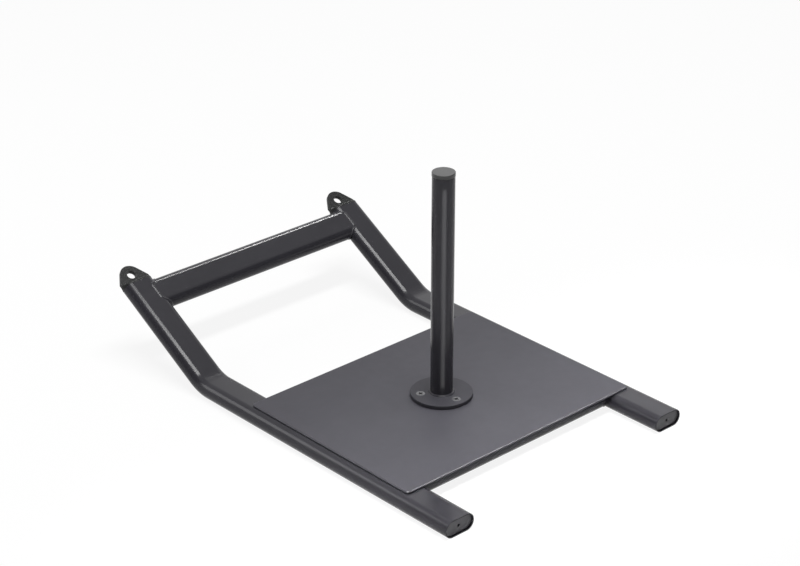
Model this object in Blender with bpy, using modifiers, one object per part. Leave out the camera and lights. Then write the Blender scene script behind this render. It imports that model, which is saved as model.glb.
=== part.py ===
"""Weight sled: two bent flat-oval runners joined by cross tubes, a flat deck, and a post for weight plates.

Units are metres, +Z is up and the turned-up pulling end points to -Y.  The origin is on the floor,
in the middle of the sled's outline seen from above.
"""
import math

import bmesh
import bpy
from mathutils import Matrix, Vector

# Runners and cross tubes, all bent or cut from one flat-oval furniture tube
TUBE_WIDTH = 0.040
TUBE_HEIGHT = 0.020
TUBE_WALL = 0.0012
RUNNER_SPACING = 0.320
BEND_RADIUS = 0.050
RISE_ANGLE = math.radians(30)
RISE_LENGTH = 0.154
CROSSBAR_SETBACK = 0.0014
BEAM_SETBACK = 0.008

# Deck sheet, and where the runners reach past it
DECK_LENGTH = 0.256
DECK_THICKNESS = 0.0024
DECK_CORNER_RADIUS = 0.005
DECK_EDGE_RADIUS = 0.0005
TAIL_OVERHANG = 0.068
FRONT_REACH = 0.0853

# Pulling lugs, each an end plate with a drilled tongue
LUG_PLATE = 0.003
LUG_THICKNESS = 0.0048
LUG_FILLET = 0.003
LUG_HOLE_DIAMETER = 0.0105
LUG_HOLE_REACH = 0.0114
LUG_TIP_RADIUS = 0.0135
LUG_TAPER = math.radians(32)

# Post and its bolted foot
POST_DIAMETER = 0.0254
POST_WALL = 0.0025
POST_LENGTH = 0.2619
FOOT_WELD = 0.0016
FLANGE_DIAMETER = 0.0705
FLANGE_THICKNESS = 0.0045
FLANGE_EDGE_RADIUS = 0.0006
POST_CAP_RIM = 0.0045
POST_CAP_PROUD = 0.0003
POST_CAP_STEM = 0.014
POST_CAP_WALL = 0.002
POST_CAP_EDGE_RADIUS = 0.0008
POST_CAP_RIBS = 2
POST_CAP_RIB_HEIGHT = 0.0006

# Countersunk screws, washers and nuts that hold the foot to the deck
SCREW_COUNT = 3
SCREW_CIRCLE_DIAMETER = 0.048
SCREW_DIAMETER = 0.005
SCREW_LENGTH = 0.016
SCREW_HEAD_DIAMETER = 0.010
SCREW_HEAD_SINK = 0.0001
RECESS_ARM = 0.0052
RECESS_SLOT = 0.0011
RECESS_DEPTH = 0.0018
WASHER_DIAMETER = 0.010
WASHER_THICKNESS = 0.001
NUT_ACROSS_FLATS = 0.008
NUT_THICKNESS = 0.0047

# Plugs in the runners' tail ends
PLUG_SINK = 0.002
PLUG_LENGTH = 0.014
PLUG_WALL = 0.0018
PLUG_FACE = 0.0022
PLUG_HOLE_DIAMETER = 0.003

# Clearances between pieces
SEAT = 0.0003
HOLE_CLEARANCE = 0.0003

# How finely round shapes are divided
OVAL_STEPS = 14
BEND_STEPS = 8
ROUND_STEPS = 48
SMALL_STEPS = 24
LUG_HOLE_STEPS = 32
LUG_TIP_STEPS = 20
VENT_STEPS = 16
CORNER_STEPS = 6
FILLET_STEPS = 4
SMOOTH_ANGLE = math.radians(40)

# Places worked out from the sizes above, +Y towards the tail
RISE_DIRECTION = Vector((0, -math.cos(RISE_ANGLE), math.sin(RISE_ANGLE)))
AXIS_HEIGHT = TUBE_HEIGHT / 2
LUG_START = RISE_LENGTH + SEAT
LUG_HOLE_ALONG = LUG_START + LUG_PLATE + LUG_HOLE_REACH
LUG_TIP_ALONG = LUG_HOLE_ALONG + LUG_TIP_RADIUS
RISE_RUN = LUG_TIP_ALONG * math.cos(RISE_ANGLE) + LUG_THICKNESS / 2 * math.sin(RISE_ANGLE)
TOTAL_LENGTH = TAIL_OVERHANG + DECK_LENGTH + FRONT_REACH + RISE_RUN
TAIL_Y = TOTAL_LENGTH / 2
DECK_TAIL_Y = TAIL_Y - TAIL_OVERHANG
DECK_FRONT_Y = DECK_TAIL_Y - DECK_LENGTH
POST_Y = (DECK_TAIL_Y + DECK_FRONT_Y) / 2
CORNER = Vector((0, DECK_FRONT_Y - FRONT_REACH, AXIS_HEIGHT))
BEND_TANGENT = BEND_RADIUS * math.tan(RISE_ANGLE / 2)
DECK_WIDTH = RUNNER_SPACING + TUBE_WIDTH - TUBE_HEIGHT
DECK_BOTTOM = TUBE_HEIGHT + SEAT
DECK_TOP = DECK_BOTTOM + DECK_THICKNESS
FLANGE_BOTTOM = DECK_TOP + SEAT
FLANGE_TOP = FLANGE_BOTTOM + FLANGE_THICKNESS
POST_BOTTOM = FLANGE_TOP + SEAT
POST_TOP = POST_BOTTOM + POST_LENGTH
SCREW_TOP = FLANGE_TOP - SCREW_HEAD_SINK
HEAD_DEPTH = (SCREW_HEAD_DIAMETER - SCREW_DIAMETER) / 2
WASHER_TOP = DECK_BOTTOM - SEAT
NUT_TOP = WASHER_TOP - WASHER_THICKNESS - SEAT
SCREW_PLACES = [
    Vector((
        SCREW_CIRCLE_DIAMETER / 2 * math.cos(math.radians(90 + 360 * index / SCREW_COUNT)),
        POST_Y + SCREW_CIRCLE_DIAMETER / 2 * math.sin(math.radians(90 + 360 * index / SCREW_COUNT)),
        0,
    ))
    for index in range(SCREW_COUNT)
]


def clear_scene():
    """Remove whatever the open file holds."""
    for item in list(bpy.data.objects):
        bpy.data.objects.remove(item, do_unlink=True)


def new_collection(name):
    """Make a collection in the scene."""
    collection = bpy.data.collections.new(name)
    bpy.context.scene.collection.children.link(collection)
    return collection


def new_material(name, color, roughness, metallic):
    """Make a Principled material of one plain colour."""
    material = bpy.data.materials.new(name)
    material.use_nodes = True
    shader = material.node_tree.nodes["Principled BSDF"]
    shader.inputs["Base Color"].default_value = (*color, 1)
    shader.inputs["Roughness"].default_value = roughness
    shader.inputs["Metallic"].default_value = metallic
    material.diffuse_color = (*color, 1)
    return material


def add_object(name, mesh, material=None):
    """Link a mesh as a piece of the sled, or as a cutter where it has no material."""
    item = bpy.data.objects.new(name, mesh)
    if material is None:
        cutters.objects.link(item)
        item.display_type = 'WIRE'
        item.hide_render = True
    else:
        sled.objects.link(item)
        mesh.materials.append(material)
    return item


def mesh_from(bm, name):
    """Turn a bmesh into a mesh, smooth across all but its sharp edges."""
    bm.normal_update()
    bmesh.ops.recalc_face_normals(bm, faces=bm.faces)
    mesh = bpy.data.meshes.new(name)
    bm.to_mesh(mesh)
    bm.free()
    mesh.shade_smooth()
    mesh.set_sharp_from_angle(angle=SMOOTH_ANGLE)
    return mesh


def cut(item, cutter, operation='DIFFERENCE'):
    """Cut one solid with another through a live Boolean modifier."""
    boolean = item.modifiers.new(operation.title(), 'BOOLEAN')
    boolean.operation = operation
    boolean.solver = 'EXACT'
    boolean.object = cutter


def oval_points(width, height):
    """Outline of a flat oval: two half circles joined by flats, anticlockwise."""
    radius = height / 2
    flat = width / 2 - radius
    points = []
    for side in (1, -1):
        for step in range(OVAL_STEPS + 1):
            angle = -math.pi / 2 + math.pi * step / OVAL_STEPS
            points.append((side * (flat + radius * math.cos(angle)), side * radius * math.sin(angle)))
    return points


def oval_frame(place, along, across):
    """Matrix that lays an oval's length along one direction and its width across it."""
    normal = along.cross(across)
    return Matrix.Translation(place) @ Matrix((across, normal, along)).transposed().to_4x4()


def oval_bar(name, width, height, length, matrix, material=None):
    """Solid bar of flat-oval section, from its start along its length."""
    bm = bmesh.new()
    ring = [bm.verts.new((u, v, 0)) for u, v in oval_points(width, height)]
    start = bm.faces.new(ring)
    grown = bmesh.ops.extrude_face_region(bm, geom=[start])
    ends = [part for part in grown["geom"] if isinstance(part, bmesh.types.BMVert)]
    bmesh.ops.translate(bm, verts=ends, vec=(0, 0, length))
    bm.transform(matrix)
    return add_object(name, mesh_from(bm, name), material)


def edges_of(geometry):
    """The edges among what an extrusion or a spin returned."""
    return [part for part in geometry if isinstance(part, bmesh.types.BMEdge)]


def extrude_ring(bm, ring, vector):
    """Carry a ring of edges along a vector and return the ring at the far end."""
    grown = bmesh.ops.extrude_edge_only(bm, edges=ring)["geom"]
    ends = [part for part in grown if isinstance(part, bmesh.types.BMVert)]
    bmesh.ops.translate(bm, verts=ends, vec=vector)
    far_ends = set(ends)
    return [edge for edge in edges_of(grown) if set(edge.verts) <= far_ends]


def oval_ring(bm, matrix):
    """Ring of edges round the tube's outer section."""
    ring = [bm.verts.new(matrix @ Vector((u, v, 0))) for u, v in oval_points(TUBE_WIDTH, TUBE_HEIGHT)]
    return [bm.edges.new((a, b)) for a, b in zip(ring, ring[1:] + ring[:1])]


def give_wall(item, wall):
    """Turn an open skin into a tube wall, grown inwards."""
    solidify = item.modifiers.new("Wall", 'SOLIDIFY')
    solidify.thickness = wall
    solidify.offset = -1
    solidify.use_even_offset = True


def build_runner(name, side, material):
    """Runner: the tube runs straight, bends up once and rises to its lug."""
    bm = bmesh.new()
    tail = Vector((side * RUNNER_SPACING / 2, TAIL_Y, AXIS_HEIGHT))
    ring = oval_ring(bm, oval_frame(tail, Vector((0, -1, 0)), Vector((1, 0, 0))))
    bend_start_y = CORNER.y + BEND_TANGENT
    ring = extrude_ring(bm, ring, Vector((0, bend_start_y - TAIL_Y, 0)))
    bend = bmesh.ops.spin(
        bm,
        geom=ring,
        cent=(0, bend_start_y, AXIS_HEIGHT + BEND_RADIUS),
        axis=(1, 0, 0),
        angle=-RISE_ANGLE,
        steps=BEND_STEPS,
    )
    ring = edges_of(bend["geom_last"])
    extrude_ring(bm, ring, RISE_DIRECTION * (RISE_LENGTH - BEND_TANGENT))
    runner = add_object(name, mesh_from(bm, name), material)
    give_wall(runner, TUBE_WALL)
    return runner


def runner_envelope(name, side, centre, along):
    """Cutter that copes a cross tube to the runner beside it, with the seating gap."""
    start = Vector((side * RUNNER_SPACING / 2, centre.y, centre.z)) - along * TUBE_WIDTH
    matrix = oval_frame(start, along, Vector((1, 0, 0)))
    return oval_bar(name, TUBE_WIDTH + 2 * SEAT, TUBE_HEIGHT + 2 * SEAT, 2 * TUBE_WIDTH, matrix)


def build_cross_tube(name, centre, along, material):
    """Cross tube: a length of the same tube between the runners, its ends coped to their sides."""
    bm = bmesh.new()
    half = RUNNER_SPACING / 2 - (TUBE_WIDTH - TUBE_HEIGHT) / 2
    start = centre - Vector((half, 0, 0))
    ring = oval_ring(bm, oval_frame(start, Vector((1, 0, 0)), along))
    extrude_ring(bm, ring, Vector((2 * half, 0, 0)))
    tube = add_object(name, mesh_from(bm, name), material)
    give_wall(tube, TUBE_WALL)
    for side, label in ((1, "left"), (-1, "right")):
        cut(tube, runner_envelope(f"cope_{name}_{label}", side, centre, along))
    return tube


def build_deck(material):
    """Deck: one sheet with rounded corners, drilled for the foot's screws."""
    bm = bmesh.new()
    bmesh.ops.create_cube(bm, size=1)
    bmesh.ops.scale(bm, vec=(DECK_WIDTH, DECK_LENGTH, DECK_THICKNESS), verts=bm.verts)
    centre = Vector((0, POST_Y, DECK_BOTTOM + DECK_THICKNESS / 2))
    bmesh.ops.translate(bm, vec=centre, verts=bm.verts)
    upright = [edge for edge in bm.edges if edge.calc_length() < 2 * DECK_THICKNESS]
    bmesh.ops.bevel(
        bm, geom=upright, offset=DECK_CORNER_RADIUS, segments=CORNER_STEPS, profile=0.5, affect='EDGES'
    )
    deck = add_object("deck_plate", mesh_from(bm, "deck_plate"), material)
    bevel = deck.modifiers.new("Edges", 'BEVEL')
    bevel.width = DECK_EDGE_RADIUS
    bevel.segments = 2
    bevel.limit_method = 'ANGLE'
    bevel.angle_limit = math.radians(60)
    for index, place in enumerate(SCREW_PLACES, 1):
        radius = SCREW_DIAMETER / 2 + HOLE_CLEARANCE
        cut(deck, cylinder(f"deck_hole_{index}", radius, DECK_BOTTOM - SEAT, FLANGE_BOTTOM, place))
    return deck


def cylinder(name, radius, low, high, place, steps=SMALL_STEPS, material=None):
    """Upright cylinder between two heights."""
    bm = bmesh.new()
    bmesh.ops.create_cone(
        bm, cap_ends=True, segments=steps, radius1=radius, radius2=radius, depth=high - low
    )
    bmesh.ops.translate(bm, vec=(place.x, place.y, (high + low) / 2), verts=bm.verts)
    return add_object(name, mesh_from(bm, name), material)


def turned(name, profile, steps, place, material=None):
    """Turned piece: an outline of (radius, height) that runs from the top down its outer side."""
    mesh = bpy.data.meshes.new(name)
    points = [(radius, 0, height) for radius, height in profile]
    touches_axis = profile[0][0] == 0
    pairs = [(index, index + 1) for index in range(len(points) - 1)]
    if not touches_axis:
        pairs.append((len(points) - 1, 0))
    mesh.from_pydata(points, pairs, [])
    item = add_object(name, mesh, material)
    item.location = (place.x, place.y, 0)
    screw = item.modifiers.new("Turn", 'SCREW')
    screw.steps = steps
    screw.render_steps = steps
    screw.use_merge_vertices = True
    screw.merge_threshold = 0.00001
    screw.use_smooth_shade = True
    return item


def corner_arc(centre, radius, start, end, steps):
    """Points of an arc in a turned outline, angles in degrees."""
    return [
        (
            centre[0] + radius * math.cos(math.radians(start + (end - start) * step / steps)),
            centre[1] + radius * math.sin(math.radians(start + (end - start) * step / steps)),
        )
        for step in range(steps + 1)
    ]


def build_flange(material):
    """Foot flange: a thick disc with countersunk holes."""
    radius = FLANGE_DIAMETER / 2
    edge = FLANGE_EDGE_RADIUS
    profile = [(0, FLANGE_TOP)]
    profile += corner_arc((radius - edge, FLANGE_TOP - edge), edge, 90, 0, FILLET_STEPS)
    profile += [(radius, FLANGE_BOTTOM), (0, FLANGE_BOTTOM)]
    flange = turned("post_flange", profile, ROUND_STEPS, Vector((0, POST_Y, 0)), material)
    for index, place in enumerate(SCREW_PLACES, 1):
        cut(flange, turned(f"flange_hole_{index}", countersink_profile(), SMALL_STEPS, place))
    return flange


def countersink_profile():
    """Outline of the screw's own shape grown by the clearance, opened above and below."""
    head = SCREW_HEAD_DIAMETER / 2 + HOLE_CLEARANCE
    shank = SCREW_DIAMETER / 2 + HOLE_CLEARANCE
    rim_bottom = SCREW_TOP - HOLE_CLEARANCE * math.tan(math.radians(22.5))
    cone_bottom = rim_bottom - (head - shank)
    above = FLANGE_TOP + FLANGE_THICKNESS
    below = FLANGE_BOTTOM - SEAT
    profile = [(0, above), (head, above), (head, rim_bottom), (shank, cone_bottom)]
    return profile + [(shank, below), (0, below)]


def build_post(material):
    """Post: a round tube whose foot flares into its weld."""
    outer = POST_DIAMETER / 2
    inner = outer - POST_WALL
    centre = (outer + FOOT_WELD, POST_BOTTOM + FOOT_WELD)
    fillet = corner_arc(centre, FOOT_WELD, 180, 270, FILLET_STEPS)
    profile = [(outer, POST_TOP)] + fillet + [(inner, POST_BOTTOM), (inner, POST_TOP)]
    return turned("post_tube", profile, ROUND_STEPS, Vector((0, POST_Y, 0)), material)


def build_post_cap(material):
    """Post cap: a flat head a little wider than the post, on a hollow stem with two ribs inside the bore."""
    head = POST_DIAMETER / 2 + POST_CAP_PROUD
    bore = POST_DIAMETER / 2 - POST_WALL - SEAT
    stem = bore - POST_CAP_RIB_HEIGHT
    bottom = POST_TOP + SEAT
    top = bottom + POST_CAP_RIM
    edge = POST_CAP_EDGE_RADIUS
    profile = [(0, top)]
    profile += corner_arc((head - edge, top - edge), edge, 90, 0, FILLET_STEPS)
    profile += [(head, bottom), (stem, bottom)]
    for rib in range(POST_CAP_RIBS):
        height = bottom - POST_CAP_STEM * (rib + 1) / (POST_CAP_RIBS + 1)
        rise = POST_CAP_RIB_HEIGHT
        profile += [(stem, height + rise), (bore, height), (stem, height - rise)]
    low = bottom - POST_CAP_STEM
    hollow = stem - POST_CAP_WALL
    profile += [(stem, low), (hollow, low), (hollow, bottom - POST_CAP_WALL), (0, bottom - POST_CAP_WALL)]
    return turned("post_cap", profile, ROUND_STEPS, Vector((0, POST_Y, 0)), material)


def build_screw(index, place, material):
    """Countersunk screw with a cross recess; its thread is left plain."""
    head = SCREW_HEAD_DIAMETER / 2
    shank = SCREW_DIAMETER / 2
    low = SCREW_TOP - SCREW_LENGTH
    chamfer = SCREW_DIAMETER / 10
    profile = [(0, SCREW_TOP), (head, SCREW_TOP), (shank, SCREW_TOP - HEAD_DEPTH)]
    profile += [(shank, low + chamfer), (shank - chamfer, low), (0, low)]
    screw = turned(f"flange_screw_{index}", profile, SMALL_STEPS, place, material)
    bm = bmesh.new()
    for quarter in (0, 1):
        arm = bmesh.ops.create_cube(bm, size=1)["verts"]
        size = (RECESS_ARM, RECESS_SLOT, 2 * RECESS_DEPTH)
        bmesh.ops.scale(bm, vec=size, verts=arm)
        turn = Matrix.Rotation(math.radians(45 + 90 * quarter), 3, 'Z')
        bmesh.ops.rotate(bm, cent=(0, 0, 0), matrix=turn, verts=arm)
    bmesh.ops.translate(bm, vec=(place.x, place.y, SCREW_TOP), verts=bm.verts)
    recess = add_object(f"recess_{index}", mesh_from(bm, f"recess_{index}"))
    cut(screw, recess)
    screw.modifiers[-1].use_self = True
    return screw


def build_washer(index, place, material):
    """Flat washer under the deck."""
    low = WASHER_TOP - WASHER_THICKNESS
    outer = WASHER_DIAMETER / 2
    inner = SCREW_DIAMETER / 2 + HOLE_CLEARANCE
    profile = [(outer, WASHER_TOP), (outer, low), (inner, low), (inner, WASHER_TOP)]
    return turned(f"flange_washer_{index}", profile, SMALL_STEPS, place, material)


def build_nut(index, place, material):
    """Hexagon nut under its washer; its thread is left plain."""
    low = NUT_TOP - NUT_THICKNESS
    corner = NUT_ACROSS_FLATS / math.sqrt(3)
    nut = cylinder(f"flange_nut_{index}", corner, low, NUT_TOP, place, 6, material)
    radius = SCREW_DIAMETER / 2 + HOLE_CLEARANCE
    cut(nut, cylinder(f"nut_hole_{index}", radius, low - SEAT, NUT_TOP + SEAT, place))
    return nut


def build_lug(name, side, material):
    """Pulling lug: an end plate on the tube's mouth with a drilled tongue standing out of its middle.

    It is the part shared by three bars: the side view with its fillets, the plan view with its
    tapered sides and round tip, and the tube's own oval.
    """
    place = Vector((side * RUNNER_SPACING / 2, CORNER.y, CORNER.z)) + RISE_DIRECTION * LUG_START
    frame = oval_frame(place, RISE_DIRECTION, Vector((1, 0, 0)))
    half = LUG_THICKNESS / 2
    length = LUG_PLATE + LUG_HOLE_REACH + LUG_TIP_RADIUS
    deep = TUBE_HEIGHT
    fillet = corner_arc((half + LUG_FILLET, LUG_PLATE + LUG_FILLET), LUG_FILLET, 180, 270, FILLET_STEPS)
    side_view = [(half, length + SEAT)] + fillet + [(deep, LUG_PLATE), (deep, 0)]
    side_view += [(-v, along) for v, along in reversed(side_view)]
    lug = prism(name, [(v, along) for v, along in side_view], TUBE_WIDTH, frame, 'SIDE', material)
    hole_along = LUG_PLATE + LUG_HOLE_REACH
    taper = math.degrees(LUG_TAPER)
    tip = corner_arc((0, hole_along), LUG_TIP_RADIUS, taper, 180 - taper, LUG_TIP_STEPS)
    wide = TUBE_WIDTH
    shoulder = tip[0][1] - (wide - tip[0][0]) / math.tan(LUG_TAPER)
    low = min(shoulder, 0) - SEAT
    plan = [(wide, low), (wide, shoulder)] + tip + [(-wide, shoulder), (-wide, low)]
    cut(lug, prism(f"plan_{name}", plan, TUBE_HEIGHT, frame, 'PLAN'), 'INTERSECT')
    start = oval_frame(place - RISE_DIRECTION * SEAT, RISE_DIRECTION, Vector((1, 0, 0)))
    cut(lug, oval_bar(f"oval_{name}", TUBE_WIDTH, TUBE_HEIGHT, length + 3 * SEAT, start), 'INTERSECT')
    cut(lug, lug_drill(name, frame, hole_along))
    return lug


def prism(name, outline, reach, frame, view, material=None):
    """Bar of a given outline, reaching both ways from the lug's middle plane."""
    bm = bmesh.new()
    if view == 'SIDE':
        ring = [bm.verts.new((-reach, v, along)) for v, along in outline]
        vector = (2 * reach, 0, 0)
    else:
        ring = [bm.verts.new((u, -reach, along)) for u, along in outline]
        vector = (0, 2 * reach, 0)
    grown = bmesh.ops.extrude_face_region(bm, geom=[bm.faces.new(ring)])
    ends = [part for part in grown["geom"] if isinstance(part, bmesh.types.BMVert)]
    bmesh.ops.translate(bm, verts=ends, vec=vector)
    bm.transform(frame)
    return add_object(name, mesh_from(bm, name), material)


def lug_drill(name, frame, hole_along):
    """Cutter for the hole through a lug's tongue."""
    bm = bmesh.new()
    radius = LUG_HOLE_DIAMETER / 2
    bmesh.ops.create_cone(
        bm, cap_ends=True, segments=LUG_HOLE_STEPS, radius1=radius, radius2=radius, depth=2 * TUBE_HEIGHT
    )
    bm.transform(frame @ Matrix.Translation((0, 0, hole_along)) @ Matrix.Rotation(math.pi / 2, 4, 'X'))
    return add_object(f"drill_{name}", mesh_from(bm, f"drill_{name}"))


def build_plug(name, side, material):
    """Tail plug: a face sunk into the tube, with a skirt behind it and a small vent."""
    width = TUBE_WIDTH - 2 * TUBE_WALL - 2 * SEAT
    height = TUBE_HEIGHT - 2 * TUBE_WALL - 2 * SEAT
    place = Vector((side * RUNNER_SPACING / 2, TAIL_Y - PLUG_SINK, AXIS_HEIGHT))
    frame = oval_frame(place, Vector((0, -1, 0)), Vector((1, 0, 0)))
    plug = oval_bar(name, width, height, PLUG_LENGTH, frame, material)
    hollow_start = place + Vector((0, -PLUG_FACE, 0))
    hollow = oval_frame(hollow_start, Vector((0, -1, 0)), Vector((1, 0, 0)))
    core = oval_bar(f"core_{name}", width - 2 * PLUG_WALL, height - 2 * PLUG_WALL, PLUG_LENGTH, hollow)
    cut(plug, core)
    bm = bmesh.new()
    radius = PLUG_HOLE_DIAMETER / 2
    bmesh.ops.create_cone(
        bm, cap_ends=True, segments=VENT_STEPS, radius1=radius, radius2=radius, depth=2 * PLUG_LENGTH
    )
    bm.transform(frame)
    cut(plug, add_object(f"vent_{name}", mesh_from(bm, f"vent_{name}")))
    return plug


def build_sled():
    """Put the sled together in the order in which it is welded and bolted."""
    coat = new_material("black_powder_coat", (0.035, 0.035, 0.038), 0.42, 0.0)
    deck_coat = new_material("deck_powder_coat", (0.040, 0.040, 0.043), 0.38, 0.0)
    plastic = new_material("grey_plastic", (0.075, 0.075, 0.080), 0.5, 0.0)
    cap_plastic = new_material("cap_plastic", (0.12, 0.12, 0.125), 0.45, 0.0)
    zinc = new_material("zinc_steel", (0.55, 0.55, 0.56), 0.35, 1.0)

    for side, label in ((1, "left"), (-1, "right")):
        build_runner(f"runner_{label}", side, coat)
        build_lug(f"lug_{label}", side, coat)
        build_plug(f"tail_cap_{label}", side, plastic)

    crossbar_centre = CORNER + RISE_DIRECTION * (RISE_LENGTH - CROSSBAR_SETBACK - TUBE_WIDTH / 2)
    build_cross_tube("front_crossbar", crossbar_centre, RISE_DIRECTION, coat)
    beam_inset = BEAM_SETBACK + TUBE_WIDTH / 2
    level = Vector((0, -1, 0))
    for name, y in (("rear_beam", DECK_TAIL_Y - beam_inset), ("front_beam", DECK_FRONT_Y + beam_inset)):
        build_cross_tube(name, Vector((0, y, AXIS_HEIGHT)), level, coat)

    build_deck(deck_coat)
    build_flange(coat)
    build_post(coat)
    build_post_cap(cap_plastic)
    for index, place in enumerate(SCREW_PLACES, 1):
        build_screw(index, place, zinc)
        build_washer(index, place, zinc)
        build_nut(index, place, zinc)


clear_scene()
sled = new_collection("weight_sled")
cutters = new_collection("cutters")
build_sled()
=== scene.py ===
import math

import bmesh
import bpy
import numpy as np
from mathutils import Matrix, Vector
from mathutils.geometry import delaunay_2d_cdt


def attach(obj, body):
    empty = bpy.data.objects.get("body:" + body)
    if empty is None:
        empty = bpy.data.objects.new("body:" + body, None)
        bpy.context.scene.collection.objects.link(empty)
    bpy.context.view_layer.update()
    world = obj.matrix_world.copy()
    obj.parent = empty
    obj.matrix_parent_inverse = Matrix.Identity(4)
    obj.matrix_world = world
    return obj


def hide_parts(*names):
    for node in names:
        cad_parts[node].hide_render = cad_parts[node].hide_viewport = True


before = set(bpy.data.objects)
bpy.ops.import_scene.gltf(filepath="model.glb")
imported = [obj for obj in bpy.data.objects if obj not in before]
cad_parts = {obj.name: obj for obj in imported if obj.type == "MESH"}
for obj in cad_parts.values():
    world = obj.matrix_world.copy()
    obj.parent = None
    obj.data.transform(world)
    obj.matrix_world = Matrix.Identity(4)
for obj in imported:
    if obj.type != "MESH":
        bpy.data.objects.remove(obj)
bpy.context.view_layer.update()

bpy.context.scene.view_settings.view_transform = 'Standard'

# Camera: it stands beyond the tail end on the left and looks down from over a metre up, with a long
# lens, so the sled is seen from its near corner almost without perspective.
CAMERA_PLACE = Vector((1.50265, 1.65429, 1.22568))
CAMERA_AZIMUTH = math.radians(137.4132)
CAMERA_ELEVATION = math.radians(26.1119)
CAMERA_ROLL = math.radians(-0.0336)
CAMERA_LENS = 99.574
CAMERA_SENSOR = 36


def stand_camera():
    """Level the camera to look back along its azimuth and elevation, then roll it about its lens."""
    back = Vector((
        math.sin(CAMERA_AZIMUTH) * math.cos(CAMERA_ELEVATION),
        -math.cos(CAMERA_AZIMUTH) * math.cos(CAMERA_ELEVATION),
        math.sin(CAMERA_ELEVATION),
    ))
    right = Vector((0, 0, 1)).cross(back).normalized()
    upright = Matrix((right, back.cross(right), back)).transposed()
    lens = bpy.data.cameras.new("camera")
    lens.lens = CAMERA_LENS
    lens.sensor_width = CAMERA_SENSOR
    camera = bpy.data.objects.new("camera", lens)
    turn = upright @ Matrix.Rotation(-CAMERA_ROLL, 3, 'Z')
    camera.matrix_world = Matrix.Translation(CAMERA_PLACE) @ turn.to_4x4()
    bpy.context.scene.collection.objects.link(camera)
    bpy.context.scene.camera = camera


stand_camera()

# Studio: a pale floor in a white surround, and soft lights overhead, off the two front corners and
# above the tail. Three narrow strips and two dark flags show only in reflections: the strips draw
# the lines on crossbar, deck edge and post, and the flags darken the sides of the black coat.
FLOOR_RADIUS = 12.0
FLOOR_DEPTH = 0.0002
FLOOR_STEPS = 96
FLOOR_COLOR = (0.95, 0.95, 0.95)
SHADOW_SHARE = 0.13
SURROUND_LIGHT = 0.22
WHITE = (1, 1, 1, 1)
LIGHTS = [
    # name, place, what it faces, width, height, radiance, width of the beam in degrees
    ("overhead_light", (0.0, 0.29, 2.97), (0.0, 0.0, 0.0), 2.00, 0.46, 23.0, 180),
    ("front_light", (1.62, -2.07, 1.60), (0.0, 0.0, 0.0), 1.20, 1.20, 4.2, 180),
    ("back_light", (-1.74, -1.36, 1.17), (0.0, 0.0, 0.0), 1.40, 0.90, 0.6, 180),
    ("tail_light", (0.0, 0.27, 0.70), (0.0, 0.25, 0.02), 0.90, 0.12, 47.0, 45),
]
STRIPS = [
    # the same, and the direction of the width
    ("crossbar_strip", (-0.318, -0.445, 0.489), (0.0, -0.240, 0.090), 0.36, 0.06, 120.0, 10, (1, 0, 0)),
    ("deck_edge_strip", (-0.365, 0.312, 0.488), (0.0, 0.216, 0.022), 0.44, 0.06, 90.0, 10, (1, 0, 0)),
    ("post_strip", (0.0194, 0.1137, 0.1490), (0.0018, 0.0846, 0.1490),
     0.0215, 0.241, 8.5, 80, (-0.8563, 0.5165, 0)),
]
FLAGS = [
    # name, place, what it faces, width, height
    ("right_flag", (-1.09, 0.95, 0.68), (0.0, 0.0, 0.0), 1.56, 1.40),
    ("left_flag", (1.41, -0.10, 0.75), (0.0, 0.0, 0.0), 1.42, 1.50),
]
FLAG_COLOR = (0.02, 0.02, 0.02)


def link_to_seen_rays(tree):
    """Value that is 1 for the rays that look at the background, straight or in a reflection."""
    path = tree.nodes.new("ShaderNodeLightPath")
    value = path.outputs["Is Camera Ray"]
    for name in ("Is Glossy Ray", "Is Transmission Ray"):
        larger = tree.nodes.new("ShaderNodeMath")
        larger.operation = 'MAXIMUM'
        tree.links.new(value, larger.inputs[0])
        tree.links.new(path.outputs[name], larger.inputs[1])
        value = larger.outputs[0]
    return value


def full_turn(steps):
    """Angles at even steps once round."""
    return np.linspace(0, 2 * math.pi, steps + 1)[:-1]


def lay_floor():
    """Round floor: one flat ring of points about the object.

    Seen straight or in a reflection it glows white, less a share that keeps the object's shadow.
    """
    turn = full_turn(FLOOR_STEPS)
    rim = np.stack([FLOOR_RADIUS * np.cos(turn), FLOOR_RADIUS * np.sin(turn), 0 * turn - FLOOR_DEPTH], -1)
    mesh = bpy.data.meshes.new("floor")
    mesh.from_pydata(rim.tolist(), [], [list(range(len(rim)))])
    floor = bpy.data.objects.new("floor", mesh)
    bpy.context.scene.collection.objects.link(floor)
    material = bpy.data.materials.new("pale_floor")
    material.use_nodes = True
    tree = material.node_tree
    tree.nodes.remove(tree.nodes["Principled BSDF"])
    plain = tree.nodes.new("ShaderNodeBsdfDiffuse")
    plain.inputs["Color"].default_value = (*FLOOR_COLOR, 1)
    glow = tree.nodes.new("ShaderNodeEmission")
    glow.inputs["Color"].default_value = WHITE
    seen = tree.nodes.new("ShaderNodeMixShader")
    seen.inputs[0].default_value = SHADOW_SHARE
    either = tree.nodes.new("ShaderNodeMixShader")
    tree.links.new(glow.outputs[0], seen.inputs[1])
    tree.links.new(plain.outputs[0], seen.inputs[2])
    tree.links.new(link_to_seen_rays(tree), either.inputs[0])
    tree.links.new(plain.outputs[0], either.inputs[1])
    tree.links.new(seen.outputs[0], either.inputs[2])
    tree.links.new(either.outputs[0], tree.nodes["Material Output"].inputs["Surface"])
    mesh.materials.append(material)


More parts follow.
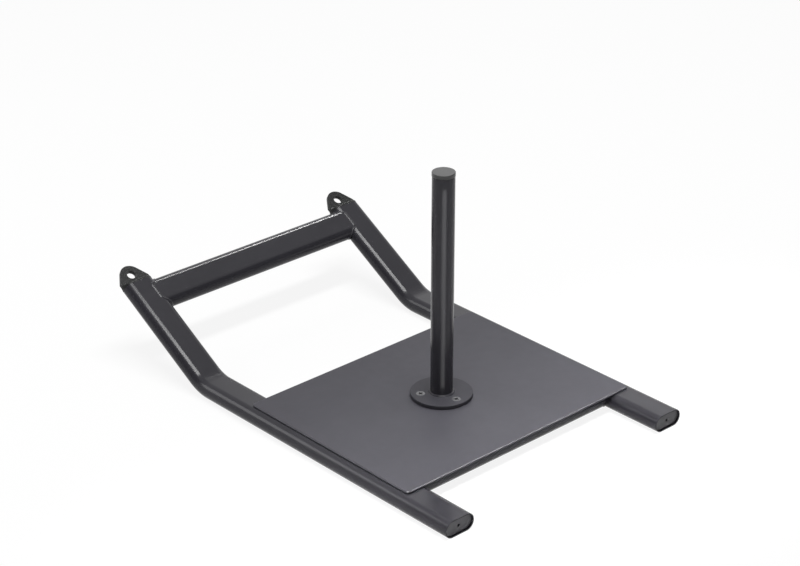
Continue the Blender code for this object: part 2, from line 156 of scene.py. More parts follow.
def light_surround():
    """World: white where it is seen, and a soft even light on everything else."""
    world = bpy.data.worlds.new("surround")
    bpy.context.scene.world = world
    world.use_nodes = True
    tree = world.node_tree
    soft = tree.nodes["Background"]
    soft.inputs["Color"].default_value = WHITE
    soft.inputs["Strength"].default_value = SURROUND_LIGHT
    white = tree.nodes.new("ShaderNodeBackground")
    white.inputs["Color"].default_value = WHITE
    mix = tree.nodes.new("ShaderNodeMixShader")
    tree.links.new(link_to_seen_rays(tree), mix.inputs[0])
    tree.links.new(soft.outputs[0], mix.inputs[1])
    tree.links.new(white.outputs[0], mix.inputs[2])
    tree.links.new(mix.outputs[0], tree.nodes["World Output"].inputs["Surface"])


def facing(place, target, across):
    """Place and turn of a flat thing that looks at a target, with its width along a direction."""
    back = (Vector(place) - Vector(target)).normalized()
    width = (Vector(across) - back * back.dot(Vector(across))).normalized()
    return Matrix.Translation(place) @ Matrix((width, back.cross(width), back)).transposed().to_4x4()


def hang_light(name, place, target, width, height, radiance, beam, across=(1, 0, 0)):
    """Rectangular soft light, with its width along a direction.

    Its power is radiance times area times pi, less what a grid holds back: within a beam of half
    angle a, the renderer lets the light fall off from 1 to 0 as the tangent grows to that of a, and
    scales it by 1 over (1 - a / tan a) to hold the power.
    """
    half = math.radians(beam) / 2
    lamp = bpy.data.lights.new(name, 'AREA')
    lamp.shape = 'RECTANGLE'
    lamp.size = width
    lamp.size_y = height
    lamp.spread = 2 * half
    lamp.energy = radiance * width * height * math.pi * (1 - half / math.tan(half))
    item = bpy.data.objects.new(name, lamp)
    item.matrix_world = facing(place, target, across)
    item.visible_camera = False
    bpy.context.scene.collection.objects.link(item)
    return item


def stand_flag(name, place, target, width, height):
    """Dark panel that only shows in reflections."""
    there = facing(place, target, (-place[1], place[0], 0))
    corners = [(-1, -1), (1, -1), (1, 1), (-1, 1)]
    points = [there @ Vector((x * width / 2, y * height / 2, 0)) for x, y in corners]
    mesh = bpy.data.meshes.new(name)
    mesh.from_pydata(points, [], [(0, 1, 2, 3)])
    material = bpy.data.materials.new(name)
    material.use_nodes = True
    shader = material.node_tree.nodes["Principled BSDF"]
    shader.inputs["Base Color"].default_value = (*FLAG_COLOR, 1)
    shader.inputs["Roughness"].default_value = 1.0
    mesh.materials.append(material)
    flag = bpy.data.objects.new(name, mesh)
    flag.visible_camera = flag.visible_diffuse = flag.visible_shadow = False
    bpy.context.scene.collection.objects.link(flag)


lay_floor()
light_surround()
for light in LIGHTS:
    hang_light(*light)
for strip in STRIPS:
    # it shows in the gloss alone and lights nothing
    hang_light(*strip).visible_diffuse = False
for flag in FLAGS:
    stand_flag(*flag)

# Runners: 40 x 20 mm flat-oval steel tube, cut to length, bent up once by 30 degrees and powder
# coated satin black. They carry everything else, and the deck's place along them sets where they
# bend and where they end.
TUBE_WIDTH = 0.040
TUBE_HEIGHT = 0.020
TUBE_WALL = 0.0012
RUNNER_X = 0.160
AXIS_HEIGHT = TUBE_HEIGHT / 2
POST_Y = 0.088145
DECK_LENGTH = 0.256
TAIL_OVERHANG = 0.068
FRONT_REACH = 0.0853
TAIL_Y = POST_Y + DECK_LENGTH / 2 + TAIL_OVERHANG
BEND_CORNER_Y = POST_Y - DECK_LENGTH / 2 - FRONT_REACH
BEND_RADIUS = 0.050
RISE_ANGLE = math.radians(30)
RISE_LENGTH = 0.154
BEND_TANGENT = BEND_RADIUS * math.tan(RISE_ANGLE / 2)
STRAIGHT_LENGTH = TAIL_Y - BEND_CORNER_Y - BEND_TANGENT
BEND_LENGTH = BEND_RADIUS * RISE_ANGLE
RUNNER_LENGTH = STRAIGHT_LENGTH + BEND_LENGTH + RISE_LENGTH - BEND_TANGENT
CUT_EDGE = 0.0003
FINE_EDGE_STEPS = 3
OVAL_ARC_STEPS = 28
BEND_STEPS = 28
SHARP_ANGLE = math.radians(50)
MERGE_DISTANCE = 1e-7
SIDES = {"left": 1, "right": -1}

FRAME_COLOR = (0.0325, 0.0315, 0.0375)
FRAME_DARKER = (0.0285, 0.0275, 0.0330)
FRAME_ROUGHNESS = (0.18, 0.22)
FRAME_IOR = 1.28
FRAME_PEEL = [(0.0030, 0.0000008)]
SHADE_DRIFT = 0.045
GLOSS_DRIFT = 0.012
NOISE_MIDDLE = (0.3, 0.7)


def new_finish(name, color, roughness, ior, metallic=0.0):
    """Material of one Principled shader with its even values set on the shader itself."""
    material = bpy.data.materials.new(name)
    material.use_nodes = True
    shader = material.node_tree.nodes["Principled BSDF"]
    shader.inputs["Base Color"].default_value = (*color, 1)
    shader.inputs["Roughness"].default_value = roughness
    shader.inputs["IOR"].default_value = ior
    shader.inputs["Metallic"].default_value = metallic
    material.diffuse_color = (*color, 1)
    return material, material.node_tree, shader


def noise_at(tree, wavelength, detail=2.0):
    """Noise of a given wavelength in metres, read at the object's own coordinates."""
    place = tree.nodes.new("ShaderNodeTexCoord")
    noise = tree.nodes.new("ShaderNodeTexNoise")
    noise.inputs["Scale"].default_value = 1 / wavelength
    noise.inputs["Detail"].default_value = detail
    tree.links.new(place.outputs["Object"], noise.inputs["Vector"])
    return noise.outputs["Fac"]


def spread(tree, value, low, high):
    """Stretch the middle of a noise to run from one value to another."""
    span = tree.nodes.new("ShaderNodeMapRange")
    span.inputs["From Min"].default_value = NOISE_MIDDLE[0]
    span.inputs["From Max"].default_value = NOISE_MIDDLE[1]
    span.inputs["To Min"].default_value = low
    span.inputs["To Max"].default_value = high
    tree.links.new(value, span.inputs["Value"])
    return span.outputs["Result"]


def mottle(tree, shader, value, one, other):
    """Blend two close colours by a value, as base colour."""
    mix = tree.nodes.new("ShaderNodeMix")
    mix.data_type = 'RGBA'
    mix.inputs["A"].default_value = (*one, 1)
    mix.inputs["B"].default_value = (*other, 1)
    tree.links.new(value, mix.inputs["Factor"])
    tree.links.new(mix.outputs["Result"], shader.inputs["Base Color"])


def raise_grain(tree, shader, layers):
    """Relief of a finish: one bump on top of another, each of (wavelength, height) in metres."""
    normal = None
    for wavelength, height in layers:
        bump = tree.nodes.new("ShaderNodeBump")
        bump.inputs["Distance"].default_value = height
        tree.links.new(noise_at(tree, wavelength), bump.inputs["Height"])
        if normal is not None:
            tree.links.new(normal, bump.inputs["Normal"])
        normal = bump.outputs["Normal"]
    tree.links.new(normal, shader.inputs["Normal"])


def powder_coat(name, color, darker, roughness, ior, peel):
    """Satin powder coat: faint orange peel, and colour and gloss that drift a little over a piece."""
    material, tree, shader = new_finish(name, color, sum(roughness) / 2, ior)
    mottle(tree, shader, spread(tree, noise_at(tree, SHADE_DRIFT), 0, 1), color, darker)
    gloss = spread(tree, noise_at(tree, GLOSS_DRIFT, detail=4.0), *roughness)
    tree.links.new(gloss, shader.inputs["Roughness"])
    raise_grain(tree, shader, peel)
    return material


def skin(name, shells, material, node):
    """Piece made of shells, each a stack of rings (rows, columns, xyz) and how its ends close.

    Row i joins row i + 1 with one face per column. The ends are 'joined' to each other, 'filled'
    with a flat face each, or 'open'. Open ends run to a point or meet flat sheets, which are the
    further parts of a shell, as points and triangles.
    """
    bm = bmesh.new()
    for rings, ends, *sheets in shells:
        rows, columns = rings.shape[:2]
        corners = [bm.verts.new(point) for point in rings.reshape(-1, 3).tolist()]
        row, column = np.mgrid[0:rows if ends == 'joined' else rows - 1, 0:columns]
        below, beside = (row + 1) % rows, (column + 1) % columns
        faces = np.stack([
            row * columns + column, row * columns + beside,
            below * columns + beside, below * columns + column,
        ], -1).reshape(-1, 4).tolist()
        if ends == 'filled':
            faces += [list(range(columns)), list(range((rows - 1) * columns, rows * columns))]
        for face in faces:
            bm.faces.new([corners[index] for index in face])
        for points, triangles in sheets:
            corners = [bm.verts.new(point) for point in points.tolist()]
            for face in triangles:
                bm.faces.new([corners[index] for index in face])
    bmesh.ops.remove_doubles(bm, verts=bm.verts, dist=MERGE_DISTANCE)
    bmesh.ops.dissolve_degenerate(bm, dist=MERGE_DISTANCE / 10, edges=bm.edges)
    bm.normal_update()
    bmesh.ops.recalc_face_normals(bm, faces=bm.faces)
    mesh = bpy.data.meshes.new(name)
    bm.to_mesh(mesh)
    bm.free()
    mesh.shade_smooth()
    mesh.set_sharp_from_angle(angle=SHARP_ANGLE)
    mesh.materials.append(material)
    piece = bpy.data.objects.new(name, mesh)
    bpy.context.scene.collection.objects.link(piece)
    piece.modifiers.new("Even shading", 'WEIGHTED_NORMAL').keep_sharp = True
    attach(piece, "root")
    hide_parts(node)
    return piece


def walk_oval(distance, width, height):
    """Centre of curvature and outward direction at a distance round a flat oval.

    The walk starts below the right half circle. The direction turns by distance over radius on the
    two half circles and holds still on the two flats, where the centre slides instead.
    """
    radius = height / 2
    flat, arc = width - height, math.pi * radius
    turn = (np.clip(distance, 0, arc) + np.clip(distance - arc - flat, 0, arc)) / radius - math.pi / 2
    slide = np.clip(distance - arc, 0, flat) - np.clip(distance - 2 * arc - flat, 0, flat)
    centre = np.stack([flat / 2 - slide, 0 * slide], -1)
    return centre, np.stack([np.cos(turn), np.sin(turn)], -1)


def oval_section(width, height, steps=OVAL_ARC_STEPS):
    """Centres and directions at even steps round the half circles, with none between on the flats."""
    arc = math.pi * height / 2
    half = np.linspace(0, arc, steps + 1)
    return walk_oval(np.concatenate([half, half + arc + width - height]), width, height)


def wall_path(stations, length, wall, lip):
    """Way along a tube's outside, over its cut end, back inside and over its other end.

    Each point is (distance along, depth below the outer skin). A cut end is two quarter circles of
    the lip's radius, one at the outer and one at the inner edge.
    """
    turn = np.linspace(0, math.pi / 2, FINE_EDGE_STEPS + 1)
    outer = np.stack([length - lip + lip * np.sin(turn), lip - lip * np.cos(turn)], -1)
    inner = np.stack([length - lip + lip * np.cos(turn), wall - lip + lip * np.sin(turn)], -1)
    end = np.concatenate([outer, inner])
    start = end[::-1] * [-1, 1] + [length, 0]
    there = np.stack([stations, 0 * stations], -1)
    return np.concatenate([there, end, there[::-1] + [0, wall], start])


def runner_line(distance):
    """Centre (y, z) and heading of a runner at a distance from its tail.

    Straight, then an arc where the heading grows as distance over radius, then straight again.
    """
    heading = np.clip((distance - STRAIGHT_LENGTH) / BEND_RADIUS, 0, RISE_ANGLE)
    beyond = np.clip(distance - STRAIGHT_LENGTH - BEND_LENGTH, 0, None)
    y = TAIL_Y - np.minimum(distance, STRAIGHT_LENGTH) - BEND_RADIUS * np.sin(heading)
    z = AXIS_HEIGHT + BEND_RADIUS * (1 - np.cos(heading)) + beyond * math.sin(RISE_ANGLE)
    return y - beyond * math.cos(RISE_ANGLE), z, heading


def runner_rings(side):
    """Flat-oval section carried along the runner's line, its top turned back by the heading."""
    bend = STRAIGHT_LENGTH + np.linspace(0, BEND_LENGTH, BEND_STEPS + 1)
    stations = np.concatenate([[CUT_EDGE], bend, [RUNNER_LENGTH - CUT_EDGE]])
    path = wall_path(stations, RUNNER_LENGTH, TUBE_WALL, CUT_EDGE)
    centre, outward = oval_section(TUBE_WIDTH, TUBE_HEIGHT)
    y, z, heading = (value[:, None] for value in runner_line(path[:, 0]))
    section = centre + outward * (TUBE_HEIGHT / 2 - path[:, 1])[:, None, None]
    across, up = section[..., 0], section[..., 1]
    return np.stack([side * RUNNER_X + across, y + up * np.sin(heading), z + up * np.cos(heading)], -1)


frame_coat = powder_coat(
    "frame_powder_coat", FRAME_COLOR, FRAME_DARKER, FRAME_ROUGHNESS, FRAME_IOR, FRAME_PEEL
)
for label, side in SIDES.items():
    tube = [(runner_rings(side), 'joined')]
    skin(f"runner_{label}_tube", tube, frame_coat, f"runner_{label}")

# Cross tubes: three lengths of the same tube, coped to the runners' round sides and welded there.
# One joins the rises close below the lugs, two carry the deck near its front and tail edges.
CROSSBAR_SETBACK = 0.0014
CROSSBAR_ALONG = RISE_LENGTH - CROSSBAR_SETBACK - TUBE_WIDTH / 2
BEAM_SETBACK = 0.008
BEAM_OFFSET = DECK_LENGTH / 2 - BEAM_SETBACK - TUBE_WIDTH / 2
CROSS_TUBES = {
    # name: middle's y and z, and tilt
    "front_crossbar": (
        BEND_CORNER_Y - CROSSBAR_ALONG * math.cos(RISE_ANGLE),
        AXIS_HEIGHT + CROSSBAR_ALONG * math.sin(RISE_ANGLE),
        RISE_ANGLE,
    ),
    "rear_beam": (POST_Y + BEAM_OFFSET, AXIS_HEIGHT, 0.0),
    "front_beam": (POST_Y - BEAM_OFFSET, AXIS_HEIGHT, 0.0),
}
BEAD_ON_TUBE = 0.0032
BEAD_ON_RUNNER = 0.0015
BEAD_BESIDE = BEAD_ON_RUNNER / 4
BEAD_RISE = 0.0005
BEAD_PITCH = 0.0013
BEAD_RIPPLE = 0.06
BEAD_BOW = 0.4
BEAD_ROOT = 0.0007
BEAD_STEPS = 12
BEAD_SAMPLES = 620
BEAD_GROUND = 0.0001


def cope(height):
    """How far from the middle a cross tube meets a runner's round side, by height on the section."""
    radius = TUBE_HEIGHT / 2
    reach = RUNNER_X - TUBE_WIDTH / 2 + radius
    return reach - np.sqrt(np.clip(radius**2 - height**2, 0, None))


def cross_tube_rings(y, z, tilt):
    """Flat-oval section carried across the sled, each line of it ending where the cope says."""
    span = 2 * RUNNER_X
    path = wall_path(np.array([CUT_EDGE, span - CUT_EDGE]), span, TUBE_WALL, CUT_EDGE)
    centre, outward = oval_section(TUBE_WIDTH, TUBE_HEIGHT)
    section = centre + outward * (TUBE_HEIGHT / 2 - path[:, 1])[:, None, None]
    along, up = section[..., 0], section[..., 1]
    at_start = path[:, :1] < span / 2
    from_end = np.where(at_start, path[:, :1], path[:, :1] - span)
    return np.stack([
        np.where(at_start, -1, 1) * cope(up) + from_end,
        y - along * math.cos(tilt) + up * math.sin(tilt),
        z + along * math.sin(tilt) + up * math.cos(tilt),
    ], -1)


def bead_rings(toe, root, other_toe, outward, run, rise=BEAD_RISE):
    """Weld bead: at each point of the joint, an arch from one toe to the other over the root.

    The arch is the straight line between the toes plus a rise of the squared sine of pi t, which
    leaves both toes smoothly. The rise swells and sinks along the run in bowed ripples, as the weld
    pool froze. The bead closes below the root, inside the metal.
    """
    t = np.linspace(0, 1, BEAD_STEPS + 1)[:, None, None]
    ripple = (run / BEAD_PITCH)[None, :, None] + BEAD_BOW * (2 * t - 1) ** 2
    swell = 1 + BEAD_RIPPLE * np.sin(2 * math.pi * ripple)
    arch = toe * (1 - t) + other_toe * t + outward * (rise * np.sin(math.pi * t) ** 2 * swell)
    underside = np.stack([other_toe, root, toe]) - outward * BEAD_ROOT
    return np.concatenate([arch, underside])


def cross_joint_rings(y, z, tilt, side):
    """Bead round a coped end: its toes lie on the cross tube and on the runner's unrolled side.

    Under a beam it is ground flush, so that the sled stands on its runners.
    """
    radius = TUBE_HEIGHT / 2
    perimeter = 2 * (TUBE_WIDTH - TUBE_HEIGHT) + 2 * math.pi * radius
    run = np.linspace(0, perimeter, BEAD_SAMPLES + 1)[:-1]
    centre, around = walk_oval(run, TUBE_WIDTH, TUBE_HEIGHT)
    section = centre + around * radius
    middle = np.array([0, y, z])
    joint_turn = np.arcsin(np.clip(around[:, 1], -1, 1))

    def turned_there(x, along, up):
        """Direction outward, along the section's width and up its height, in the sled's axes."""
        return np.stack([
            side * x,
            up * math.sin(tilt) - along * math.cos(tilt),
            along * math.sin(tilt) + up * math.cos(tilt),
        ], -1)

    def on_runner(along, climb):
        """Point on the runner's skin: climb runs up its round side and on over its flats."""
        turn = np.clip(climb / radius, -math.pi / 2, math.pi / 2)
        over_flat = np.abs(climb) - np.abs(turn) * radius
        x = RUNNER_X - TUBE_WIDTH / 2 + radius - radius * np.cos(turn) + over_flat
        return middle + turned_there(x, along, radius * np.sin(turn))

    root = on_runner(section[:, 0], joint_turn * radius)
    toe = middle + turned_there(cope(section[:, 1]) - BEAD_ON_TUBE, section[:, 0], section[:, 1])
    other_toe = on_runner(
        section[:, 0] + BEAD_BESIDE * around[:, 0],
        joint_turn * radius + BEAD_ON_RUNNER * around[:, 1],
    )
    outward = turned_there(-np.cos(joint_turn), around[:, 0], around[:, 1] + np.sin(joint_turn))
    outward /= np.linalg.norm(outward, axis=1, keepdims=True)
    rings = bead_rings(toe, root, other_toe, outward, run)
    rings[..., 2] = np.maximum(rings[..., 2], BEAD_GROUND)
    return rings


for name, (y, z, tilt) in CROSS_TUBES.items():
    shells = [(cross_tube_rings(y, z, tilt), 'joined')]
    shells += [(cross_joint_rings(y, z, tilt, side), 'joined') for side in SIDES.values()]
    skin(f"{name}_welded", shells, frame_coat, name)

# Lugs: a 3 mm plate closes each runner's upper mouth, and a drilled tongue of 4.8 mm plate stands
# on it for the strap's link. Both are welded, ground and coated with the frame, but their coat here
# is a much darker copy of the frame's, which is painted shade on the lugs. The seat, here and below,
# is the small clearance between a piece and the one it stands on.
SEAT = 0.0003
LUG_START = RISE_LENGTH + SEAT
LUG_PLATE = 0.003
LUG_PLATE_SIDE = [
    # inset from the tube's skin and distance along, from inside the seam to the eased rim
    (0.0, -0.0004), (0.0, 0.0022), (0.0003, 0.0028), (0.0009, LUG_PLATE),
]
LUG_THICKNESS = 0.0048
LUG_HOLE_DIAMETER = 0.0105
LUG_HOLE_FROM_PLATE = 0.0114
LUG_HOLE_ALONG = LUG_PLATE + LUG_HOLE_FROM_PLATE
LUG_TIP_RADIUS = 0.0135
LUG_TAPER = math.radians(32)
LUG_EDGE = 0.0005
LUG_TIP_STEPS = 40
LUG_HOLE_STEPS = 56
LUG_FILLET = 0.003
LUG_FILLET_INSET = 0.0002
LUG_FILLET_STEPS = 8
SAME_POINT = 1e-9
# painted shade: the lugs' colours are far darker than the frame coat they really share
LUG_SHADED_COLOR = (0.0090, 0.0095, 0.0092)
LUG_SHADED_DARKER = (0.0075, 0.0080, 0.0077)
LUG_ROUGHNESS = (0.38, 0.44)


def ring_of(centre, radius, steps):
    """Points evenly round a circle."""
    turn = full_turn(steps)
    return np.stack([centre[0] + radius * np.cos(turn), centre[1] + radius * np.sin(turn)], -1)


def edge_profile(thickness, edge):
    """Rounded edge of a plate, from its top face to its bottom face, as (inset, height)."""
    turn = np.linspace(0, math.pi / 2, FINE_EDGE_STEPS + 1)
    top = np.stack([edge - edge * np.sin(turn), thickness / 2 - edge + edge * np.cos(turn)], -1)
    return np.concatenate([top, top[::-1] * [1, -1]])


def flat_sheet(loops, height):
    """Flat face inside the first loop and outside the others, as points and faces."""
    points = np.concatenate(loops)
    ends = np.cumsum([len(loop) for loop in loops])
    sides = [
        (index, index + 1 if index + 1 < end else start)
        for start, end in zip([0, *ends[:-1]], ends) for index in range(start, end)
    ]
    made = delaunay_2d_cdt([Vector(point) for point in points.tolist()], sides, [], 0, SAME_POINT)
    spots, triangles = np.array([tuple(spot) for spot in made[0]]), np.array(made[2])
    middle = spots[triangles].mean(axis=1)
    kept = inside_of(loops[0], middle)
    for hole in loops[1:]:
        kept &= ~inside_of(hole, middle)
    flat = np.concatenate([spots, np.full((len(spots), 1), height)], axis=1)
    return flat, triangles[kept].tolist()


def inside_of(loop, points):
    """Which points lie inside a loop: those whose level line crosses it an odd number of times."""
    start, end = loop[None], np.roll(loop, -1, axis=0)[None]
    level = points[:, None, 1]
    spans = (start[..., 1] > level) != (end[..., 1] > level)
    rise = np.where(spans, end[..., 1] - start[..., 1], 1)
    crossing = start[..., 0] + (level - start[..., 1]) * (end[..., 0] - start[..., 0]) / rise
    return (spans & (points[:, None, 0] < crossing)).sum(axis=1) % 2 == 1


def plate_shells(outline, outward, profile, holes, place):
    """Plate with its outline carried down a rounded edge, and holes turned from their own outlines.

    Holes are (centre, [(radius, height), ...], steps), listed from the top face to the bottom one.
    """
    def at_height(loop, height):
        return np.column_stack([loop, np.full(len(loop), height)])

    edge = np.stack([at_height(outline - outward * inset, height) for inset, height in profile])
    walls = [
        np.stack([at_height(ring_of(centre, radius, steps), height) for radius, height in line])
        for centre, line, steps in holes
    ]
    top = flat_sheet([edge[0, :, :2], *(wall[0, :, :2] for wall in walls)], profile[0][1])
    bottom = flat_sheet([edge[-1, :, :2], *(wall[-1, :, :2] for wall in walls)], profile[-1][1])

    def placed(points):
        return points @ np.array(place.to_3x3()).T + np.array(place.translation)

    shells = [(placed(edge), 'open', (placed(top[0]), top[1]), (placed(bottom[0]), bottom[1]))]
    return shells + [(placed(wall), 'open') for wall in walls]


def tongue_outline():
    """Tongue seen in plan, and its outward directions, from one foot round the tip to the other.

    The tip is an arc about the hole. Where it ends, straight flanks leave it at the taper's angle
    and spread to the tube's width. Each shoulder's direction lies between those of its two sides.
    """
    turn = np.linspace(LUG_TAPER, math.pi - LUG_TAPER, LUG_TIP_STEPS + 1)
    tip_out = np.stack([np.cos(turn), np.sin(turn)], -1)
    tip = tip_out * LUG_TIP_RADIUS + [0, LUG_HOLE_ALONG]
    half = TUBE_WIDTH / 2
    flank_x, flank_y = tip[0]
    shoulder = flank_y - (half - flank_x) * math.cos(LUG_TAPER) / math.sin(LUG_TAPER)
    base = np.array([[half, LUG_PLATE - LUG_EDGE], [half, shoulder]])
    base_out = np.array([[1.0, 0.0], [1.0, 0.5]])
    outline = np.concatenate([base, tip, base[::-1] * [-1, 1]])
    return outline, np.concatenate([base_out, tip_out, base_out[::-1] * [-1, 1]])


def lug_place(side):
    """Frame of a lug: across the tube, along the rise, and up out of the tube's middle plane."""
    along = Vector((0, -math.cos(RISE_ANGLE), math.sin(RISE_ANGLE)))
    up = Vector((0, math.sin(RISE_ANGLE), math.cos(RISE_ANGLE)))
    origin = Vector((side * RUNNER_X, BEND_CORNER_Y, AXIS_HEIGHT)) + along * LUG_START
    # across x along would point down, so across runs to -X
    return Matrix.Translation(origin) @ Matrix((Vector((-1, 0, 0)), along, up)).transposed().to_4x4()


def lug_fillet_rings(face):
    """Fillet between the plate and one face of the tongue, as wide as the tube's oval at each height.

    Its section is a hollow quarter circle and a corner inside the metal. At a height v the oval
    reaches half its flat plus the square root of r squared minus v squared to each side.
    """
    turn = np.linspace(math.pi, 1.5 * math.pi, LUG_FILLET_STEPS + 1)
    height = LUG_THICKNESS / 2 + LUG_FILLET + LUG_FILLET * np.cos(turn)
    along = LUG_PLATE + LUG_FILLET + LUG_FILLET * np.sin(turn)
    height = np.append(height, LUG_THICKNESS / 2 - LUG_EDGE)
    along = np.append(along, LUG_PLATE - LUG_EDGE)
    radius = TUBE_HEIGHT / 2
    reach = TUBE_WIDTH / 2 - radius + np.sqrt(radius**2 - height**2) - LUG_FILLET_INSET
    across = np.array([-1, 0, 1])[:, None] * reach
    return np.stack([across, along + 0 * across, face * height + 0 * across], -1)


def lug_shells(side):
    """End plate, tongue and fillets of one lug."""
    place = lug_place(side)
    centre, outward = oval_section(TUBE_WIDTH, TUBE_HEIGHT)
    end_plate = []
    for inset, along in LUG_PLATE_SIDE:
        ring = centre + outward * (TUBE_HEIGHT / 2 - inset)
        end_plate.append(np.stack([ring[:, 0], np.full(len(ring), along), ring[:, 1]], -1))
    solids = [np.stack(end_plate), lug_fillet_rings(1), lug_fillet_rings(-1)]
    turn = np.array(place.to_3x3()).T
    shells = [(rings @ turn + np.array(place.translation), 'filled') for rings in solids]
    outline, out = tongue_outline()
    edge = edge_profile(LUG_THICKNESS, LUG_EDGE)
    hole = [(LUG_HOLE_DIAMETER / 2 + inset, height) for inset, height in edge]
    return shells + plate_shells(outline, out, edge, [((0, LUG_HOLE_ALONG), hole, LUG_HOLE_STEPS)], place)


# painted shade: the lugs get a darker copy of the frame's coat
lug_shaded_coat = powder_coat("lug_painted_shade_coat", LUG_SHADED_COLOR, LUG_SHADED_DARKER, LUG_ROUGHNESS, FRAME_IOR, FRAME_PEEL)
for label, side in SIDES.items():
    skin(f"lug_{label}_plate", lug_shells(side), lug_shaded_coat, f"lug_{label}")

# Tail caps: moulded plastic plugs pressed into the runners' tail ends, sunk a little below the
# tube's lip, with a small vent hole in the middle of the face.
CAP_CLEARANCE = 0.0002
CAP_WIDTH = TUBE_WIDTH - 2 * (TUBE_WALL + CAP_CLEARANCE)
CAP_HEIGHT = TUBE_HEIGHT - 2 * (TUBE_WALL + CAP_CLEARANCE)
CAP_SINK = 0.002
CAP_FACE = 0.0022
CAP_VENT_RADIUS = 0.0015
CAP_EDGE = 0.0006
CAP_VENT_STEPS = 40
TAIL_CAP_COLOR = (0.046, 0.045, 0.051)
TAIL_CAP_DARKER = (0.038, 0.037, 0.042)
TAIL_CAP_ROUGHNESS = 0.48
PLASTIC_IOR = 1.46
PLASTIC_GRAIN = [(0.0011, 0.000020), (0.0003, 0.000006)]
PLASTIC_FLOW = 0.007


def moulded_plastic(name, color, darker, roughness):
    """Moulded plastic: fine spark-eroded grain, and a drift of shade from the flow in the mould."""
    material, tree, shader = new_finish(name, color, roughness, PLASTIC_IOR)
    mottle(tree, shader, spread(tree, noise_at(tree, PLASTIC_FLOW, detail=3.0), 0, 1), color, darker)
    raise_grain(tree, shader, PLASTIC_GRAIN)
    return material


def tail_cap_shells(side):
    """Face of one plug: an oval with rounded edges, and a vent whose rim is rounded half as wide."""
    origin = Vector((side * RUNNER_X, TAIL_Y - CAP_SINK - CAP_FACE / 2, AXIS_HEIGHT))
    facing_back = Matrix(((-1, 0, 0), (0, 0, 1), (0, 1, 0))).transposed()
    place = Matrix.Translation(origin) @ facing_back.to_4x4()
    centre, outward = oval_section(CAP_WIDTH, CAP_HEIGHT)
    outline = centre + outward * CAP_HEIGHT / 2
    edge = edge_profile(CAP_FACE, CAP_EDGE)
    vent = [(CAP_VENT_RADIUS + inset / 2, height) for inset, height in edge]
    return plate_shells(outline, outward, edge, [((0, 0), vent, CAP_VENT_STEPS)], place)


tail_cap_plastic = moulded_plastic(
    "tail_cap_plastic", TAIL_CAP_COLOR, TAIL_CAP_DARKER, TAIL_CAP_ROUGHNESS
)
for label, side in SIDES.items():
    name = f"tail_cap_{label}"
    skin(f"{name}_plug", tail_cap_shells(side), tail_cap_plastic, name)

# Deck: one laser-cut steel sheet, 2.4 mm thick, with rounded corners and broken edges, welded
# down on the runners' flat tops. Its coat is paler and more matt than the tubes'.
DECK_WIDTH = 0.340
DECK_THICKNESS = 0.0024
DECK_BOTTOM = TUBE_HEIGHT + SEAT
DECK_TOP = DECK_BOTTOM + DECK_THICKNESS
DECK_CORNER_RADIUS = 0.005
DECK_BREAK = 0.0012
DECK_BREAK_ANGLE = math.radians(34)
DECK_BREAK_SOFTENING = 0.0002
DECK_BREAK_EASING = (0.25, 0.3, 0.5)
DECK_LOWER_EDGE = 0.0001
DECK_CORNER_STEPS = 10
SCREW_CIRCLE_RADIUS = 0.024
SCREW_TURNS = (90, 210, 330)
SCREW_SHANK_RADIUS = 0.0025
HOLE_CLEARANCE = 0.0003
DECK_HOLE_STEPS = 32
DECK_COLOR = (0.0540, 0.0525, 0.0630)
DECK_DARKER = (0.0495, 0.0480, 0.0580)
DECK_ROUGHNESS = (0.54, 0.58)
DECK_IOR = 1.36
DECK_PEEL = [(0.0030, 0.000005)]
DECK_EDGE_ROUGHNESS = (0.20, 0.24)
BEVEL_RISE = (0.5, 0.99)


def rounded_rectangle(width, length, radius, steps):
    """Outline of a rounded rectangle and its outward directions, a quarter circle at each corner."""
    turn = full_turn(4 * steps).reshape(4, steps)
    turn = np.concatenate([turn, turn[:, :1] + math.pi / 2], axis=1)
    out = np.stack([np.cos(turn), np.sin(turn)], -1)
    signs = np.array([(1, 1), (-1, 1), (-1, -1), (1, -1)])[:, None]
    centre = signs * [width / 2 - radius, length / 2 - radius]
    return (centre + out * radius).reshape(-1, 2), out.reshape(-1, 2)


def broken_edge():
    """Edge of the sheet from its top face to its bottom face, as (inset, height).

    The top is broken with a flat bevel, eased over the softening where it meets the face and the
    side. The easing's shares of the softening say how far that takes it below the face, in from
    the side and down it. Then the edge drops square to a nearly sharp lower corner.
    """
    slope = math.tan(DECK_BREAK_ANGLE)
    top, soft = DECK_THICKNESS / 2, DECK_BREAK_SOFTENING
    below_face, from_side, down_side = (share * soft for share in DECK_BREAK_EASING)
    inset = np.array([DECK_BREAK + soft, DECK_BREAK, DECK_BREAK - soft, soft, from_side])
    drop = np.array([0.0, below_face, soft, DECK_BREAK - soft, DECK_BREAK - from_side]) * slope
    side = [(0.0, top - DECK_BREAK * slope - down_side), (0.0, DECK_LOWER_EDGE - top)]
    return [*zip(inset, top - drop), *side, (DECK_LOWER_EDGE, -top)]


def screw_places():
    """Places of the three screws about the post, seen from above."""
    turn = np.radians(SCREW_TURNS)
    return np.stack([SCREW_CIRCLE_RADIUS * np.cos(turn), SCREW_CIRCLE_RADIUS * np.sin(turn)], -1)


def deck_shells():
    """The sheet, with its broken edge all round and three plain drilled holes about the post."""
    outline, outward = rounded_rectangle(
        DECK_WIDTH, DECK_LENGTH, DECK_CORNER_RADIUS, DECK_CORNER_STEPS
    )
    radius = SCREW_SHANK_RADIUS + HOLE_CLEARANCE
    hole = [(radius, DECK_THICKNESS / 2), (radius, -DECK_THICKNESS / 2)]
    holes = [(place, hole, DECK_HOLE_STEPS) for place in screw_places()]
    middle = Matrix.Translation((0, POST_Y, (DECK_BOTTOM + DECK_TOP) / 2))
    return plate_shells(outline, outward, broken_edge(), holes, middle)


